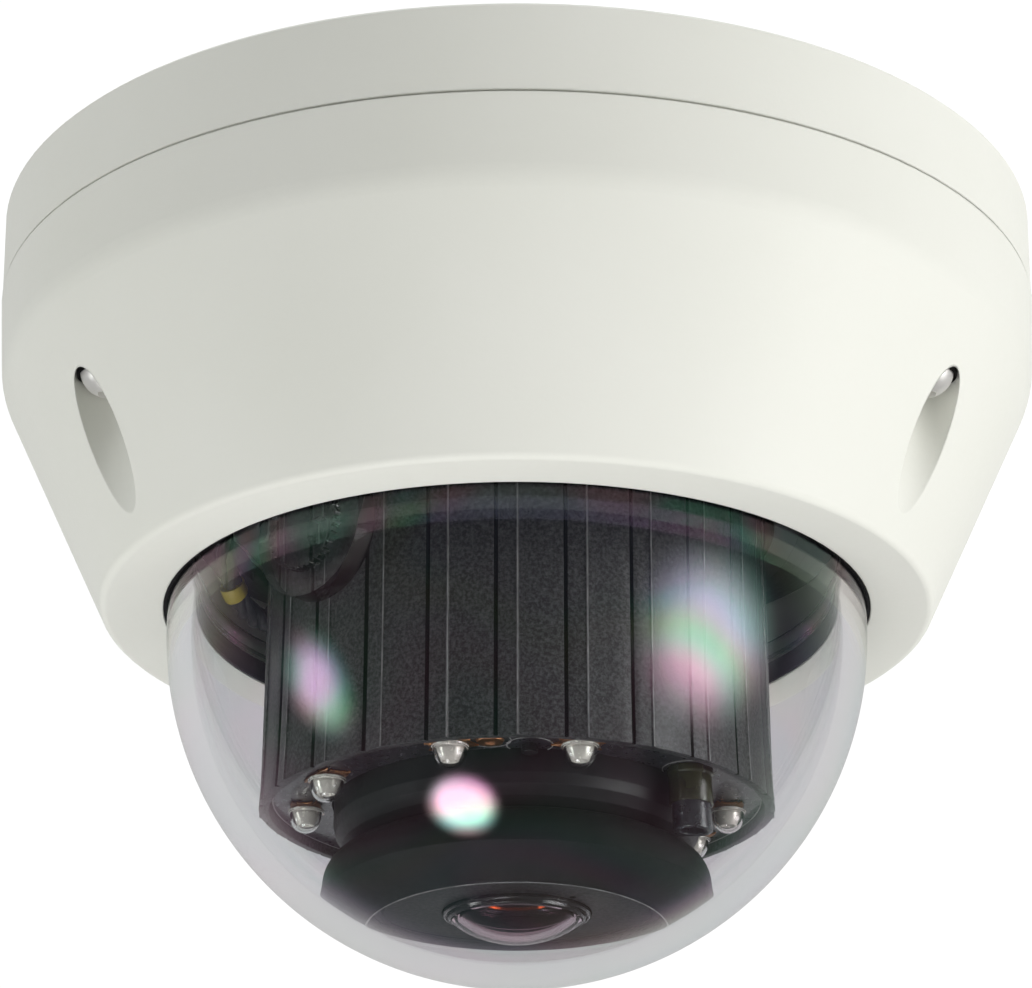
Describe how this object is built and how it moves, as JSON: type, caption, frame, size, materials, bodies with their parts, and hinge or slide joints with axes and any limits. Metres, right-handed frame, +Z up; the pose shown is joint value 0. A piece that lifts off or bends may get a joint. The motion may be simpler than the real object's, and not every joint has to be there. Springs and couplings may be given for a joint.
{
  "type": "dome cctv camera",
  "caption": "Ceiling dome security camera: a painted base and conical cover hold a clear bubble over a fisheye lens module with infrared lights.",
  "frame": {"origin": "centre of the ceiling face of the mounting base", "axes": "+Z up into the ceiling along the dome's axis, -Y the front, +X to the right seen from the front"},
  "size_m": [0.151, 0.151, 0.1128],
  "materials": {
    "housing_paint": "fine-texture off-white powder paint",
    "clear_dome": "clear polished polycarbonate, hard coated",
    "black_rubber": "matt",
    "grey_gasket": "matt foam",
    "green_board": "solder-masked circuit board, satin",
    "brass_post": "turned",
    "zinc_steel": "zinc plated",
    "screw_steel": "satin stainless",
    "chip_black": "matt moulded package",
    "pad_blue": "soft gap filler",
    "sink_aluminium": "black-edged anodised, satin",
    "jack_steel": "plated sheet",
    "terminal_green": "moulded",
    "can_aluminium": "satin",
    "frame_steel": "pressed sheet",
    "liner_black": "matt moulded",
    "wire_sleeve": "sleeved bundle",
    "sleeve_yellow": "heat-shrink tube",
    "plug_white": "moulded",
    "shroud_black": "fine spark texture",
    "nylon_white": "moulded nylon",
    "knob_clear": "smoked, knurled",
    "lens_black": "matt black anodised look",
    "rim_black": "satin",
    "lens_glass": "polished, coated",
    "led_board_black": "black solder mask, satin",
    "led_copper": "gold plated frame, satin",
    "led_clear": "clear moulded dome",
    "copper_screw": "copper coloured plating",
    "mic_black": "matt",
    "collar_green": "translucent",
    "tube_dark": "satin",
    "filter_red": "infrared-cut coating",
    "filter_clear": "clear pane"
  },
  "bodies": {
    "base": {"mounting_base": "housing_paint", "cable_grommet": "black_rubber", "cover_gasket": "grey_gasket", "main_board": "green_board", "board_standoffs": "brass_post", "board_screws": "zinc_steel", "processor": "chip_black", "thermal_pad": "pad_blue", "heat_sink": "sink_aluminium", "network_jack": "jack_steel", "power_terminal": "terminal_green", "capacitors": "can_aluminium", "support_frame": "frame_steel", "frame_legs": "can_aluminium", "frame_screws": "zinc_steel", "inner_liner": "liner_black", "harness_loop": "wire_sleeve", "harness_sleeve": "sleeve_yellow", "harness_plugs": "plug_white"},
    "cover": {"cover_housing": "housing_paint", "dome_bubble": "clear_dome", "dome_seal": "black_rubber", "dome_clamp_ring": "shroud_black", "clamp_screws": "zinc_steel", "screw_washers": "screw_steel", "screw_retainers": "nylon_white"},
    "screw_left": {"screw_left": "screw_steel"},
    "screw_right": {"screw_right": "screw_steel"},
    "screw_rear": {"screw_rear": "screw_steel"},
    "camera_module": {"pan_hub": "lens_black", "hub_clip": "frame_steel", "module_shroud": "shroud_black", "module_posts": "brass_post", "sensor_board": "green_board", "image_sensor": "chip_black", "sensor_screws": "zinc_steel", "lens_holder": "lens_black", "lens_hood": "black_rubber", "filter_guides": "lens_black", "filter_coil": "copper_screw", "led_board": "led_board_black", "led_posts": "brass_post", "led_board_screws": "copper_screw", "led_bases": "led_copper", "led_lenses": "led_clear", "microphone": "mic_black", "light_sensor": "collar_green", "light_sensor_tube": "tube_dark"},
    "focus_lens": {"lens_body": "lens_black", "lens_front_ring": "rim_black", "front_glass": "lens_glass", "aperture_ring": "rim_black", "inner_glass": "lens_glass", "rear_glass": "lens_glass"},
    "ir_filter": {"filter_frame": "lens_black", "ir_cut_glass": "filter_red", "clear_glass": "filter_clear"},
    "lock_knob": {"lock_knob": "knob_clear"}
  },
  "joints": [
    {"name": "cover_slide", "type": "slide", "parent": "base", "child": "cover", "axis": [0, 0, -1], "range_m": [0, 0.1]},
    {"name": "screw_left_turn", "type": "hinge", "parent": "cover", "child": "screw_left", "pos_m": [-0.05698, -0.0329, -0.0342], "axis": [0, 0, 1], "continuous": true},
    {"name": "screw_right_turn", "type": "hinge", "parent": "cover", "child": "screw_right", "pos_m": [0.05698, -0.0329, -0.0342], "axis": [0, 0, 1], "continuous": true},
    {"name": "screw_rear_turn", "type": "hinge", "parent": "cover", "child": "screw_rear", "pos_m": [0, 0.0658, -0.0342], "axis": [0, 0, 1], "continuous": true},
    {"name": "module_pan", "type": "hinge", "parent": "base", "child": "camera_module", "pos_m": [0, 0, -0.0355], "axis": [0, 0, 1], "range_deg": [-20, 20]},
    {"name": "focus_turn", "type": "hinge", "parent": "camera_module", "child": "focus_lens", "pos_m": [0, 0, -0.085], "axis": [0, 0, 1], "range_deg": [-60, 60]},
    {"name": "filter_slide", "type": "slide", "parent": "camera_module", "child": "ir_filter", "axis": [1, 0, 0], "range_m": [0, 0.009]},
    {"name": "lock_knob_turn", "type": "hinge", "parent": "camera_module", "child": "lock_knob", "pos_m": [-0.02592, -0.02779, -0.058], "axis": [-0.682, -0.7314, 0], "continuous": true}
  ]
}
